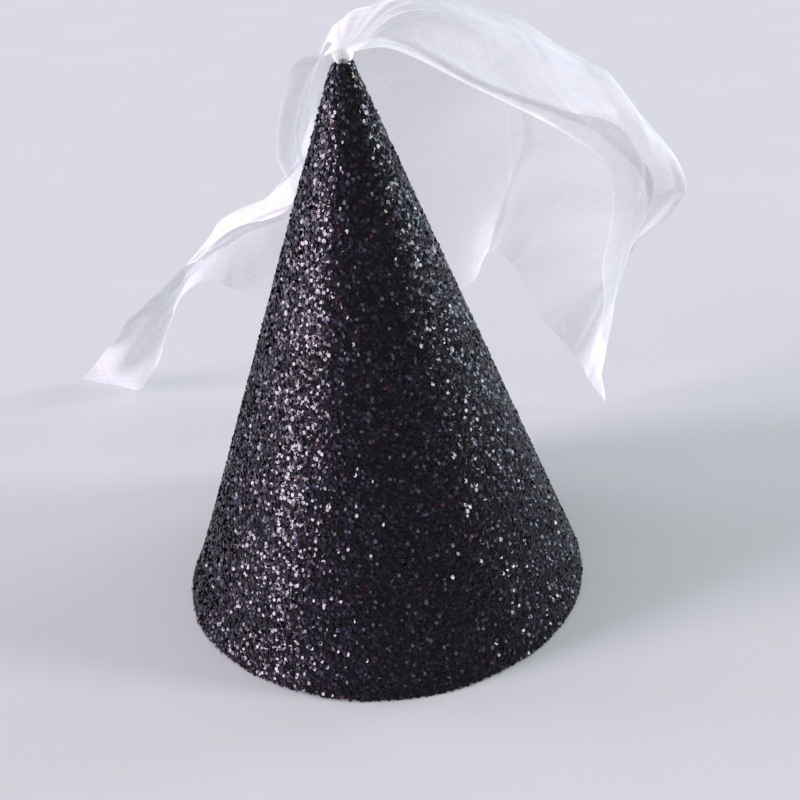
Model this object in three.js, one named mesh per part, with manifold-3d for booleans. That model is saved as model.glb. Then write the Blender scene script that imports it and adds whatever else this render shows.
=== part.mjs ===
// A cone party hat with a veil. A glitter sheet and a stiffener are laminated, rolled into a cone
// and glued along a lapped seam. A sheer veil is gathered into the open tip, tied and glued inside.
// Millimetres, +Z up. The origin is the centre of the rim, on the surface that the hat stands on.
// The front is -Y and the veil falls behind, towards +Y.
import * as THREE from 'three';
import { mergeVertices } from 'three/addons/utils/BufferGeometryUtils.js';
import Module from 'manifold-3d';

// Cone
const rimRadius = 63.5;          // outside, at the rim
const tipRadius = 2.9;           // outside, at the cut tip
const hatHeight = 163.7;         // from the rim to the cut tip
const glitterThickness = 0.7;    // cloth backing with flakes
const stiffenerThickness = 0.5;
const stiffenerSetback = 14;     // the stiffener stops this far below the tip
const glueGap = 0.25;            // bond line between laminated or lapped layers

// Lapped seam
const seamEdgeDeg = 168;         // azimuth of the free edge on the outside
const seamLapDeg = 18;           // how far the outer end covers the inner end
const lapClearDeg = 8;           // the outer layer stays lifted this far past the inner end
const lapRampDeg = 34;           // and comes down to the cone over this angle
const seamStripThickness = 0.2;
const seamStripInsetDeg = 2;     // strip to the edges of the lap
const seamStripEndGap = 3;       // strip to the rim

// Gathered end of the veil, inside the tip
const rootClearance = 0.4;       // between the root and the hole in the tip
const neckRadius = 2.4;          // where the veil opens, above the tip
const neckRise = 4.6;
const fitGap = 0.3;              // between pieces that touch inside the tip
const tieThickness = 0.9;        // two turns of thread, one over the other
const tieHeight = 2.0;
const tieDepth = 3.6;            // top of the tie below the cut tip
const plugFloor = 2.4;           // glue under the end of the root

// Veil
const veilThickness = 1.0;
const veilLeftReach = 126;       // from the axis to the left corner
const veilRightReach = 107;      // to the furthest bulge of the right lobe
const veilBackReach = 152;       // to the left corner, behind the axis
const veilCrestRise = 10.3;      // above the tip
const veilStepsAcross = 30;
const veilStepsDown = 18;

// Each rib runs from the neck to the hem, and the ribs go round from the left edge over the back
// to the right edge. A point is a share of the left or right reach, the back reach and the height
// of the crest. The point where each rib starts on the neck is worked out from the neck.
const veilRibs = {
  leftEdge: [[-0.11, 0.03, 0.92], [-0.17, 0.09, 0.79], [-0.15, 0.17, 0.68], [-0.37, 0.29, 0.58],
    [-0.65, 0.57, 0.35], [-1, 1, 0.007]],
  leftTail: [[-0.06, 0.08, 0.91], [-0.13, 0.16, 0.79], [-0.13, 0.25, 0.66], [-0.38, 0.42, 0.52],
    [-0.62, 0.68, 0.29], [-0.8, 0.91, 0.007]],
  leftArch: [[-0.03, 0.13, 0.94], [-0.08, 0.25, 0.84], [-0.1, 0.37, 0.7], [-0.24, 0.49, 0.6],
    [-0.37, 0.57, 0.51], [-0.46, 0.6, 0.39]],
  backLeft: [[-0.01, 0.16, 0.97], [-0.03, 0.32, 0.91], [-0.08, 0.45, 0.78], [-0.14, 0.51, 0.64],
    [-0.22, 0.55, 0.49], [-0.29, 0.58, 0.34]],
  backRight: [[0.07, 0.16, 0.99], [0.15, 0.33, 0.95], [0.21, 0.49, 0.84], [0.26, 0.57, 0.68],
    [0.3, 0.58, 0.52], [0.34, 0.55, 0.34]],
  crest: [[0.15, 0.13, 1], [0.39, 0.26, 0.95], [0.64, 0.39, 0.85], [0.69, 0.49, 0.68],
    [0.58, 0.54, 0.55], [0.45, 0.51, 0.43]],
  rightLobe: [[0.17, 0.09, 0.99], [0.49, 0.2, 0.91], [0.84, 0.28, 0.76], [1, 0.34, 0.58],
    [0.88, 0.45, 0.44], [0.62, 0.53, 0.25]],
  frontLobe: [[0.13, 0.05, 0.97], [0.39, 0.12, 0.87], [0.71, 0.21, 0.77], [0.9, 0.31, 0.62],
    [0.88, 0.46, 0.42], [0.76, 0.62, 0.11]],
  rightEdge: [[0.11, 0.03, 0.95], [0.32, 0.08, 0.87], [0.6, 0.16, 0.75], [0.73, 0.24, 0.66],
    [0.76, 0.36, 0.38], [0.84, 0.6, 0.007]],
};

const azimuthStepDeg = 5;
const heightSteps = 4;
const roundSegments = 32;
const slopeStep = 0.01;          // share of a rib, for the sheet's slope
const seamEndDeg = seamEdgeDeg + seamLapDeg;
const fullTurnDeg = 360;
const lapPitch = glitterThickness + stiffenerThickness + seamStripThickness + 3 * glueGap;
const crestHeight = hatHeight + veilCrestRise;
const rootRadius = tipRadius - glitterThickness - rootClearance;
const plugTop = hatHeight - tieDepth - tieHeight - fitGap;
const plugBottom = hatHeight - stiffenerSetback + fitGap;
const rootBottom = plugBottom + plugFloor + fitGap;

const wasm = await Module();
wasm.setup();

function toSolid(geometry) {
  const bare = geometry.clone();
  bare.deleteAttribute('normal');
  bare.deleteAttribute('uv');
  const merged = mergeVertices(bare);
  return new wasm.Manifold(new wasm.Mesh({
    numProp: 3,
    vertProperties: new Float32Array(merged.attributes.position.array),
    triVerts: new Uint32Array(merged.index.array),
  }));
}

function toGeometry(solid) {
  const mesh = solid.getMesh();
  const geometry = new THREE.BufferGeometry();
  geometry.setAttribute('position', new THREE.BufferAttribute(mesh.vertProperties, 3));
  geometry.setIndex(new THREE.BufferAttribute(mesh.triVerts, 1));
  geometry.computeVertexNormals();
  return geometry;
}

// A box of unit size, cut into a grid, whose points are moved to place(x, y, z), each 0 to 1.
function shapedBox(stepsX, stepsY, stepsZ, place) {
  const geometry = new THREE.BoxGeometry(1, 1, 1, stepsX, stepsY, stepsZ);
  const position = geometry.attributes.position;
  for (let i = 0; i < position.count; i += 1) {
    const point = place(position.getX(i) + 0.5, position.getY(i) + 0.5, position.getZ(i) + 0.5);
    position.setXYZ(i, point.x, point.y, point.z);
  }
  return toGeometry(toSolid(geometry));
}

function coneRadius(z) {
  return rimRadius + (tipRadius - rimRadius) * z / hatHeight;
}

// How far the rolled sheet is lifted off the cone at an azimuth. The sheet starts at the free edge
// on the outside, where it lies over its own other end, and comes down to the cone past that end.
function lapLift(azimuthDeg) {
  const past = azimuthDeg - seamEndDeg - lapClearDeg;
  return lapPitch * (1 - THREE.MathUtils.smoothstep(past, 0, lapRampDeg));
}

// A layer of the rolled laminate. inset is from the cone's outside to the layer's outside.
function rolledLayer(inset, thickness, topZ) {
  const turnDeg = fullTurnDeg + seamLapDeg;
  return shapedBox(1, Math.ceil(turnDeg / azimuthStepDeg), heightSteps, (x, y, z) => {
    const azimuthDeg = seamEdgeDeg + y * turnDeg;
    const azimuth = THREE.MathUtils.degToRad(azimuthDeg);
    const height = z * topZ;
    const radius = coneRadius(height) - inset - (1 - x) * thickness + lapLift(azimuthDeg);
    return new THREE.Vector3(radius * Math.cos(azimuth), radius * Math.sin(azimuth), height);
  });
}

function seamStrip() {
  const spanDeg = seamLapDeg - 2 * seamStripInsetDeg;
  const topZ = hatHeight - stiffenerSetback - seamStripEndGap;
  return shapedBox(1, Math.ceil(spanDeg / azimuthStepDeg), heightSteps, (x, y, z) => {
    const azimuth = THREE.MathUtils.degToRad(seamEdgeDeg + seamStripInsetDeg + y * spanDeg);
    const height = THREE.MathUtils.lerp(seamStripEndGap, topZ, z);
    const radius = coneRadius(height) + glueGap + x * seamStripThickness;
    return new THREE.Vector3(radius * Math.cos(azimuth), radius * Math.sin(azimuth), height);
  });
}

// A closed profile of [radius, z] points, spun round +Z.
function turned(profile) {
  const points = profile.map(([radius, z]) => new THREE.Vector2(radius, z));
  const geometry = new THREE.LatheGeometry(points, roundSegments);
  geometry.rotateX(Math.PI / 2);
  return geometry;
}

function tieThread() {
  const top = hatHeight - tieDepth;
  const inner = rootRadius + fitGap;
  const outer = inner + tieThickness;
  const bottom = top - tieHeight;
  return toGeometry(toSolid(turned([
    [inner, bottom], [outer, bottom], [outer, top], [inner, top], [inner, bottom],
  ])));
}

// Hot glue that fills the tip round the gathered end of the veil, with a blind hole for it.
function gluePlug() {
  const wallInset = glitterThickness + fitGap;
  const holeRadius = rootRadius + fitGap;
  const holeBottom = rootBottom - fitGap;
  return toGeometry(toSolid(turned([
    [0, plugBottom], [coneRadius(plugBottom) - wallInset, plugBottom],
    [coneRadius(plugTop) - wallInset, plugTop], [holeRadius, plugTop],
    [holeRadius, holeBottom], [0, holeBottom],
  ])));
}

function ribPoint([across, back, up]) {
  const reach = across < 0 ? veilLeftReach : veilRightReach;
  return new THREE.Vector3(across * reach, back * veilBackReach, up * crestHeight);
}

// The neck is the open half ring on which the ribs start, from left over the back to right.
function neckPoint(share) {
  const azimuth = Math.PI * (1 - share);
  const z = hatHeight + neckRise;
  return new THREE.Vector3(neckRadius * Math.cos(azimuth), neckRadius * Math.sin(azimuth), z);
}

function veilPoint(ribs, across, down) {
  const row = ribs.map((rib) => rib.getPoint(down));
  return new THREE.CatmullRomCurve3(row, false, 'centripetal').getPoint(across);
}

function veilSheet() {
  const names = Object.keys(veilRibs);
  const ribs = names.map((name, i) => {
    const start = neckPoint(i / (names.length - 1));
    const points = [start, ...veilRibs[name].map(ribPoint)];
    return new THREE.CatmullRomCurve3(points, false, 'centripetal');
  });
  return shapedBox(veilStepsAcross, veilStepsDown, 1, (x, y, z) => {
    const point = veilPoint(ribs, x, y);
    const across = veilPoint(ribs, Math.min(x + slopeStep, 1), y);
    across.sub(veilPoint(ribs, Math.max(x - slopeStep, 0), y));
    const down = veilPoint(ribs, x, Math.min(y + slopeStep, 1));
    down.sub(veilPoint(ribs, x, Math.max(y - slopeStep, 0)));
    const normal = across.cross(down).normalize();
    return point.addScaledVector(normal, (z - 0.5) * veilThickness);
  });
}

function organzaVeil() {
  const neckZ = hatHeight + neckRise;
  const flareStart = hatHeight + fitGap;
  const flareRadius = neckRadius + veilThickness / 2;
  const root = toSolid(turned([
    [0, rootBottom], [rootRadius, rootBottom], [rootRadius, flareStart],
    [flareRadius, neckZ - veilThickness], [flareRadius, neckZ + veilThickness],
    [0, neckZ + veilThickness],
  ]));
  return toGeometry(root.add(toSolid(veilSheet())));
}

const glitterFinish = new THREE.MeshStandardMaterial({ color: 0x17161c, roughness: 0.45, metalness: 0.3 });
const stiffenerFinish = new THREE.MeshStandardMaterial({ color: 0x131316, roughness: 0.95 });
const glueFinish = new THREE.MeshStandardMaterial({ color: 0xd9d2bd, roughness: 0.35 });
const organzaFinish = new THREE.MeshStandardMaterial({ color: 0xf2f2f6, roughness: 0.5 });
const threadFinish = new THREE.MeshStandardMaterial({ color: 0xf0efea, roughness: 0.8 });

const group = new THREE.Group();

function addPiece(name, geometry, material) {
  const mesh = new THREE.Mesh(geometry, material.clone());
  mesh.name = name;
  group.add(mesh);
}

const stiffenerInset = glitterThickness + glueGap;
addPiece('glitter_cone', rolledLayer(0, glitterThickness, hatHeight), glitterFinish);
addPiece('stiffener_cone', rolledLayer(stiffenerInset, stiffenerThickness,
  hatHeight - stiffenerSetback), stiffenerFinish);
addPiece('seam_glue_strip', seamStrip(), glueFinish);
addPiece('organza_veil', organzaVeil(), organzaFinish);
addPiece('veil_tie_thread', tieThread(), threadFinish);
addPiece('tip_glue_plug', gluePlug(), glueFinish);

export default group;
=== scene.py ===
"""A cone party hat of black glitter cloth, with a sheer veil gathered into its cut tip.

Metres, +Z up. The origin is the centre of the rim and the front is -Y.
"""
import logging
import math
from dataclasses import dataclass, field
from enum import Enum
from typing import Any, Mapping, Sequence

import bmesh
import bpy
import numpy as np
from mathutils import Matrix, Vector


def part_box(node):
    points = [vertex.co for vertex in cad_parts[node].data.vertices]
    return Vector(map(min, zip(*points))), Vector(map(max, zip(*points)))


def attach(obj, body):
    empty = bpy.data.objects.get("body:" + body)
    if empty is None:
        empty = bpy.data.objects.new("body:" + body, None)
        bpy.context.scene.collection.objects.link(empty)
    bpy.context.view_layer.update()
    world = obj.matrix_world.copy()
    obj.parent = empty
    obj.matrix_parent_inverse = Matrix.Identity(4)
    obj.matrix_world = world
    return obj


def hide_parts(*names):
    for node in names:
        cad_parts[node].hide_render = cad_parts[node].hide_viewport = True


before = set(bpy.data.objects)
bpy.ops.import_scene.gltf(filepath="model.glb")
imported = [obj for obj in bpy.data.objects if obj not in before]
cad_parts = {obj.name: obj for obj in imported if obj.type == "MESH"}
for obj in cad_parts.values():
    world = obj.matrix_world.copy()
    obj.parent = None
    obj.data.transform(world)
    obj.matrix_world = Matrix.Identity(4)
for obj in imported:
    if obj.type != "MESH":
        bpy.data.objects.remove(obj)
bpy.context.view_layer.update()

BODY = "root"
MM = 0.001
LOG = logging.getLogger("party_hat")

Span = tuple[float, float]
Triple = tuple[float, float, float]
# Positions and linear colours of a ramp.
Stops = Sequence[tuple[float, Triple]]
# Size, pace along one coordinate, phase and pace along a second one of each sine wave.
Waves = Sequence[tuple[float, float, float, float]]


class Slot(Enum):
    """The record's material slots."""

    GLITTER = "glitter_cloth"
    FELT = "stiffener_felt"
    GLUE = "hot_glue"
    ORGANZA = "organza"
    THREAD = "thread"


# ---------------------------------------------------------------- nodes


@dataclass(frozen=True)
class Graph:
    """Adds nodes to a node tree and wires them."""

    tree: bpy.types.NodeTree

    def link(self, source: bpy.types.NodeSocket, target: bpy.types.NodeSocket) -> None:
        """Wires an output to an input."""
        self.tree.links.new(source, target)

    def place(self) -> bpy.types.NodeSocket:
        """Object coordinates."""
        return self.add("ShaderNodeTexCoord").outputs["Object"]

    def stored(self, name: str) -> bpy.types.NodeSocket:
        """A value that the mesh carries under this name."""
        return self.add("ShaderNodeAttribute", attribute_name=name).outputs["Fac"]

    def add(self, kind: str, inputs: Mapping[Any, Any] | None = None, **settings: Any) -> bpy.types.Node:
        """Adds a node.

        Args:
            kind: The node's type name.
            inputs: Values or sockets for its inputs, by name or index.
            settings: The node's own properties.

        Returns:
            The new node.
        """
        node = self.tree.nodes.new(kind)
        for key, value in settings.items():
            setattr(node, key, value)
        for key, value in (inputs or {}).items():
            if isinstance(value, bpy.types.NodeSocket):
                self.link(value, node.inputs[key])
            else:
                node.inputs[key].default_value = value
        return node

    def math(self, operation: str, first: Any, second: Any = 0.0) -> bpy.types.NodeSocket:
        """Adds a Math node.

        Args:
            operation: The node's operation.
            first: A number or a socket.
            second: A number or a socket.

        Returns:
            The node's output.
        """
        return self.add("ShaderNodeMath", {0: first, 1: second}, operation=operation).outputs[0]

    def spread(self, value: Any, start: Span, end: Span) -> bpy.types.NodeSocket:
        """Maps one range of numbers to another, held at its ends.

        Args:
            value: The socket to map.
            start: The range it comes in.
            end: The range it leaves in.

        Returns:
            The mapped output.
        """
        node = self.add("ShaderNodeMapRange", {"Value": value, "From Min": start[0], "From Max": start[1],
                                               "To Min": end[0], "To Max": end[1]})
        return node.outputs["Result"]

    def ramp(self, value: Any, stops: Stops) -> bpy.types.NodeSocket:
        """Adds a colour ramp.

        Args:
            value: The socket that picks the colour.
            stops: Positions and linear colours.

        Returns:
            The colour output.
        """
        node = self.add("ShaderNodeValToRGB", {0: value})
        elements = node.color_ramp.elements
        while len(elements) < len(stops):
            elements.new(1.0)
        for element, (position, colour) in zip(elements, stops):
            element.position = position
            element.color = (*colour, 1.0)
        return node.outputs["Color"]


def new_group(name: str, kind: str, inputs: Mapping[str, Any],
              outputs: Mapping[str, str]) -> tuple[Graph, Any, Any]:
    """Makes a node group with named sockets.

    Args:
        name: The group's name.
        kind: ShaderNodeTree or GeometryNodeTree.
        inputs: The default number of each input, or its type where it has no default.
        outputs: The type of each output.

    Returns:
        The group's graph, the sockets that it is given and the sockets of its result.
    """
    tree = bpy.data.node_groups.new(name, kind)
    for label, given in inputs.items():
        plain = "Int" if isinstance(given, int) else "Float"
        socket = given if isinstance(given, str) else plain
        item = tree.interface.new_socket(name=label, in_out="INPUT", socket_type=f"NodeSocket{socket}")
        if not isinstance(given, str):
            item.default_value = given
    for label, socket in outputs.items():
        tree.interface.new_socket(name=label, in_out="OUTPUT", socket_type=f"NodeSocket{socket}")
    graph = Graph(tree)
    return graph, graph.add("NodeGroupInput").outputs, graph.add("NodeGroupOutput").inputs


def grain_group() -> bpy.types.NodeTree:
    """Builds matted or lumpy grain.

    Returns:
        A group with a Mask and a Height output.
    """
    graph, take, result = new_group(
        "grain", "ShaderNodeTree", {"Vector": "Vector", "Size": 900.0, "Contrast": 0.5},
        {"Mask": "Float", "Height": "Float"})
    broad_scale, broad_share = 0.12, 0.3
    fine = graph.add("ShaderNodeTexNoise", {"Vector": take["Vector"], "Scale": take["Size"], "Detail": 6.0,
                                            "Roughness": 0.65, "Distortion": 0.6})
    broad = graph.add("ShaderNodeTexNoise", {"Vector": take["Vector"], "Detail": 3.0,
                                             "Scale": graph.math("MULTIPLY", take["Size"], broad_scale)})
    both = graph.math("ADD", graph.math("MULTIPLY", fine.outputs[0], 1.0 - broad_share),
                      graph.math("MULTIPLY", broad.outputs[0], broad_share))
    centred = graph.math("MULTIPLY", graph.math("SUBTRACT", both, 0.5), take["Contrast"])
    graph.link(graph.math("ADD", centred, 0.5), result["Mask"])
    graph.link(both, result["Height"])
    return graph.tree


def weave_group() -> bpy.types.NodeTree:
    """Builds a plain weave of fine threads with uneven, slubby yarns.

    Returns:
        A group with a Slub and a Weave output.
    """
    graph, take, result = new_group(
        "plain_weave", "ShaderNodeTree", {"Vector": "Vector", "Threads": 3000.0, "Slub Size": 260.0},
        {"Slub": "Float", "Weave": "Float"})
    parts = graph.add("ShaderNodeSeparateXYZ", {0: take["Vector"]})
    turns = graph.math("MULTIPLY", take["Threads"], math.tau)
    warp, weft = (graph.math("SINE", graph.math("MULTIPLY", part, turns)) for part in parts.outputs[:2])
    graph.link(graph.math("MULTIPLY", warp, weft), result["Weave"])
    slubs = []
    for stretch, roughness in (((1.0, 0.03, 1.0), 0.7), ((0.03, 1.0, 1.0), 0.6)):
        squeezed = graph.add("ShaderNodeVectorMath", {0: take["Vector"], 1: stretch}, operation="MULTIPLY")
        noise = graph.add("ShaderNodeTexNoise", {"Vector": squeezed.outputs[0], "Scale": take["Slub Size"],
                                                 "Detail": 3.0, "Roughness": roughness})
        slubs.append(noise.outputs[0])
    graph.link(graph.math("MULTIPLY", graph.math("ADD", *slubs), 0.5), result["Slub"])
    return graph.tree


@dataclass(frozen=True)
class Effects:
    """The finishes' shader groups, each built once."""

    grain: bpy.types.NodeTree = field(default_factory=grain_group)
    weave: bpy.types.NodeTree = field(default_factory=weave_group)


@dataclass(frozen=True)
class Look:
    """The plain shader values of a finish."""

    roughness: float
    coat: float = 0.0
    sheen: float = 0.0
    glow: float = 0.0
    specular: float = 0.5

    def start(self, name: str) -> tuple[bpy.types.Material, Graph, bpy.types.Node]:
        """Makes a material with these values.

        Args:
            name: The material's name.

        Returns:
            The material, its graph and its Principled shader.
        """
        material = bpy.data.materials.new(name)
        material.use_nodes = True
        graph = Graph(material.node_tree)
        shader = material.node_tree.nodes["Principled BSDF"]
        for socket, value in (("Roughness", self.roughness), ("Coat Weight", self.coat),
                              ("Sheen Weight", self.sheen), ("Emission Strength", self.glow),
                              ("Specular IOR Level", self.specular)):
            shader.inputs[socket].default_value = value
        return material, graph, shader


def bump(graph: Graph, shader: bpy.types.Node, height: bpy.types.NodeSocket, depth: float) -> None:
    """Feeds a height into a shader's normal.

    Args:
        graph: The material's graph.
        shader: The shader.
        height: The height, 0 to 1.
        depth: How deep it is, in metres.
    """
    node = graph.add("ShaderNodeBump", {"Height": height, "Distance": depth, "Strength": 1.0})
    graph.link(node.outputs["Normal"], shader.inputs["Normal"])


@dataclass(frozen=True)
class Grain:
    """How a finish uses the shared grain."""

    effects: Effects
    per_metre: float
    contrast: float
    tones: Stops
    depth: float

    def dress(self, graph: Graph, shader: bpy.types.Node) -> None:
        """Feeds the grain into a shader's colour and normal.

        Args:
            graph: The material's graph.
            shader: The shader.
        """
        grain = graph.add("ShaderNodeGroup", {"Vector": graph.place(), "Size": self.per_metre,
                                              "Contrast": self.contrast}, node_tree=self.effects.grain)
        graph.link(graph.ramp(grain.outputs["Mask"], self.tones), shader.inputs["Base Color"])
        bump(graph, shader, grain.outputs["Height"], self.depth)


@dataclass(frozen=True)
class GlitterBacking:
    """The dark cloth and lacquer under the flakes, full of fine chips."""

    look: Look = Look(roughness=0.6, coat=0.05, specular=0.25)
    chips_per_metre: float = 1500.0
    chip_depth: float = 0.2 * MM
    tones: Stops = ((0.0, (0.004, 0.004, 0.006)), (0.7, (0.012, 0.011, 0.016)),
                    (0.93, (0.03, 0.027, 0.038)), (1.0, (0.1, 0.095, 0.11)))

    def material(self) -> bpy.types.Material:
        """Builds the material.

        Returns:
            The material.
        """
        material, graph, shader = self.look.start("glitter_backing")
        chips = graph.add("ShaderNodeTexVoronoi", {"Vector": graph.place(), "Scale": self.chips_per_metre})
        tone = graph.add("ShaderNodeSeparateColor", {0: chips.outputs["Color"]}).outputs[0]
        graph.link(graph.ramp(tone, self.tones), shader.inputs["Base Color"])
        bump(graph, shader, chips.outputs["Distance"], self.chip_depth)
        return material


@dataclass(frozen=True)
class GlitterFlake:
    """Hexagonal film flakes. Each carries its own shade and tint, and a few are dark red."""

    look: Look = Look(roughness=0.18, coat=0.02, specular=0.18)
    shades: Stops = ((0.0, (0.003, 0.0028, 0.0045)), (0.5, (0.003, 0.0028, 0.0045)),
                     (0.88, (0.018, 0.0155, 0.025)), (1.0, (0.085, 0.075, 0.107)))
    tints: Stops = ((0.0, (1.0, 0.93, 1.05)), (0.45, (1.0, 0.96, 1.04)), (0.7, (0.86, 0.98, 1.12)),
                    (0.95, (0.9, 1.0, 1.05)), (0.955, (1.75, 0.58, 0.52)), (1.0, (2.1, 0.52, 0.46)))
    scuffs_per_metre: float = 1100.0
    scuffing: float = 0.08

    def material(self) -> bpy.types.Material:
        """Builds the material.

        Returns:
            The material.
        """
        material, graph, shader = self.look.start("glitter_flakes")
        tone = graph.ramp(graph.stored("flake_shade"), self.shades)
        hue = graph.ramp(graph.stored("flake_tint"), self.tints)
        colour = graph.add("ShaderNodeMix", {"Factor": 1.0, 6: tone, 7: hue}, data_type="RGBA",
                           blend_type="MULTIPLY")
        graph.link(colour.outputs[2], shader.inputs["Base Color"])
        scuff = graph.add("ShaderNodeTexNoise", {"Vector": graph.place(), "Scale": self.scuffs_per_metre,
                                                 "Detail": 2.0})
        polish = (self.look.roughness - self.scuffing, self.look.roughness + self.scuffing)
        graph.link(graph.spread(scuff.outputs[0], (0.35, 0.65), polish), shader.inputs["Roughness"])
        return material


@dataclass(frozen=True)
class Felt:
    """Stiff matted felt."""

    effects: Effects
    look: Look = Look(roughness=0.95, sheen=0.25)
    fibres_per_metre: float = 1400.0
    contrast: float = 1.6
    nap: float = 0.6 * MM
    tones: Stops = ((0.2, (0.006, 0.006, 0.007)), (0.8, (0.03, 0.029, 0.033)))

    def material(self) -> bpy.types.Material:
        """Builds the material.

        Returns:
            The material.
        """
        material, graph, shader = self.look.start("stiffener_felt")
        Grain(self.effects, self.fibres_per_metre, self.contrast, self.tones, self.nap).dress(graph, shader)
        return material


@dataclass(frozen=True)
class HotGlue:
    """Set hot glue, cloudy and slightly yellow."""

    effects: Effects
    look: Look = Look(roughness=0.3, coat=0.4)
    clouding: float = 0.35
    clouding_depth: float = 2.0 * MM
    lumps_per_metre: float = 500.0
    contrast: float = 1.2
    lump_depth: float = 0.2 * MM
    tones: Stops = ((0.2, (0.6, 0.54, 0.4)), (0.8, (0.8, 0.76, 0.64)))

    def material(self) -> bpy.types.Material:
        """Builds the material.

        Returns:
            The material.
        """
        material, graph, shader = self.look.start("hot_glue")
        shader.inputs["Subsurface Weight"].default_value = self.clouding
        shader.inputs["Subsurface Scale"].default_value = self.clouding_depth
        grain = Grain(self.effects, self.lumps_per_metre, self.contrast, self.tones, self.lump_depth)
        grain.dress(graph, shader)
        return material


@dataclass(frozen=True)
class Thread:
    """White sewing thread, with the ply's twist along it."""

    look: Look = Look(roughness=0.75, sheen=0.3)
    plies_per_metre: float = 900.0
    ply_depth: float = 0.08 * MM
    tones: Stops = ((0.0, (0.55, 0.55, 0.53)), (1.0, (0.86, 0.86, 0.84)))

    def material(self) -> bpy.types.Material:
        """Builds the material.

        Returns:
            The material.
        """
        material, graph, shader = self.look.start("sewing_thread")
        ply = graph.add("ShaderNodeTexWave", {"Vector": graph.place(), "Scale": self.plies_per_metre,
                                              "Distortion": 1.5}, bands_direction="DIAGONAL")
        graph.link(graph.ramp(ply.outputs["Fac"], self.tones), shader.inputs["Base Color"])
        bump(graph, shader, ply.outputs["Fac"], self.ply_depth)
        return material


@dataclass(frozen=True)
class Organza:
    """Crisp sheer white organza: clear face on, denser edge on, closed at the selvage."""

    effects: Effects
    # The glow is painted light: an emission that keeps the cloth bright where no lamp reaches it.
    look: Look = Look(roughness=0.45, sheen=0.2, glow=0.22)
    tones: Stops = ((0.3, (0.59, 0.605, 0.625)), (0.7, (0.7, 0.71, 0.72)))
    painted_glow: Stops = ((0.0, (0.36, 0.36, 0.37)), (1.0, (1.0, 1.0, 1.0)))
    covers: Span = (0.28, 0.8)
    selvage_cover: float = 0.68
    grazing_power: float = 1.7
    slub_cover: Span = (0.86, 1.14)
    thread_cover: Span = (0.94, 1.06)
    slub_depth: float = 0.01 * MM

    def material(self) -> bpy.types.Material:
        """Builds the material.

        Returns:
            The material.
        """
        material, graph, shader = self.look.start("organza")
        flat = graph.add("ShaderNodeUVMap", uv_map="flat_cut").outputs[0]
        weave = graph.add("ShaderNodeGroup", {"Vector": flat}, node_tree=self.effects.weave).outputs
        graph.link(graph.ramp(weave["Slub"], self.tones), shader.inputs["Base Color"])
        edge = graph.stored("selvage")
        # Painted glow: emission stands in for light that the thin cloth would pass on from its far side,
        # with a painted highlight brightest along the rolled selvage.
        graph.link(graph.ramp(edge, self.painted_glow), shader.inputs["Emission Color"])
        facing = graph.add("ShaderNodeLayerWeight", {"Blend": 0.5}).outputs["Facing"]
        grazing = graph.math("POWER", facing, self.grazing_power)
        cover = graph.spread(grazing, (0.0, 0.9), self.covers)
        uneven = graph.math("MULTIPLY", graph.spread(weave["Slub"], (0.3, 0.7), self.slub_cover),
                            graph.spread(weave["Weave"], (-1.0, 1.0), self.thread_cover))
        both = graph.math("MAXIMUM", graph.math("MULTIPLY", cover, uneven),
                          graph.math("MULTIPLY", edge, self.selvage_cover))
        graph.link(graph.math("MAXIMUM", both, graph.stored("gathered")), shader.inputs["Alpha"])
        bump(graph, shader, weave["Slub"], self.slub_depth)
        return material


@dataclass(frozen=True)
class PaleFloor:
    """A plain pale floor, slightly clouded."""

    look: Look = Look(roughness=0.9)
    tones: Stops = ((0.3, (0.5335, 0.5529, 0.5529)), (0.7, (0.55, 0.57, 0.57)))
    clouds_per_metre: float = 14.0

    def material(self) -> bpy.types.Material:
        """Builds the material.

        Returns:
            The material.
        """
        material, graph, shader = self.look.start("pale_floor")
        cloud = graph.add("ShaderNodeTexNoise", {"Vector": graph.place(), "Scale": self.clouds_per_metre,
                                                 "Detail": 4.0})
        graph.link(graph.ramp(cloud.outputs[0], self.tones), shader.inputs["Base Color"])
        return material


# ---------------------------------------------------------------- meshes


def smoothstep(value: np.ndarray | float, low: float, high: float) -> Any:
    """Rises smoothly from 0 at low to 1 at high."""
    share = np.clip((np.asarray(value, float) - low) / (high - low), 0.0, 1.0)
    return share * share * (3.0 - 2.0 * share)


def ripple(waves: Waves, first: Any, second: Any = 0.0) -> Any:
    """Adds up sine waves that run over one or two coordinates.

    Args:
        waves: Size, pace along the first, phase and pace along the second of each wave.
        first: The first coordinate.
        second: The second coordinate.

    Returns:
        The sum at each place.
    """
    return sum(size * np.sin(pace * first + phase + cross * second) for size, pace, phase, cross in waves)


def round_axis(radius: Any, azimuth: Any, height: Any) -> np.ndarray:
    """Points at a radius, an azimuth and a height round the hat's axis.

    Args:
        radius: Distances from the axis.
        azimuth: Angles from +X, in radians.
        height: Heights.

    Returns:
        An array of points, as wide as the three together.
    """
    radius, azimuth, height = np.broadcast_arrays(radius, azimuth, height)
    return np.stack([radius * np.cos(azimuth), radius * np.sin(azimuth), height], -1)


def grid_faces(rows: int, columns: int, first: int = 0, flip: bool = False) -> np.ndarray:
    """Quads of a grid of points stored row by row.

    Args:
        rows: Number of rows of points.
        columns: Points in a row.
        first: Index of the first point.
        flip: Whether the faces turn the other way.

    Returns:
        Four point indices for each face.
    """
    index = first + np.arange(rows * columns).reshape(rows, columns)
    quads = np.stack([index[:-1, :-1], index[:-1, 1:], index[1:, 1:], index[1:, :-1]], -1).reshape(-1, 4)
    return quads[:, ::-1] if flip else quads


def strip_faces(first: np.ndarray, second: np.ndarray) -> np.ndarray:
    """Quads between two rows of point indices.

    Args:
        first: One row.
        second: The other, as long.

    Returns:
        Four point indices for each face.
    """
    return np.stack([first[:-1], second[:-1], second[1:], first[1:]], -1)


def add_object(name: str, data: bpy.types.ID) -> bpy.types.Object:
    """Adds an object with this data to the scene, at the origin."""
    item = bpy.data.objects.new(name, data)
    bpy.context.scene.collection.objects.link(item)
    return item


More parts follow.
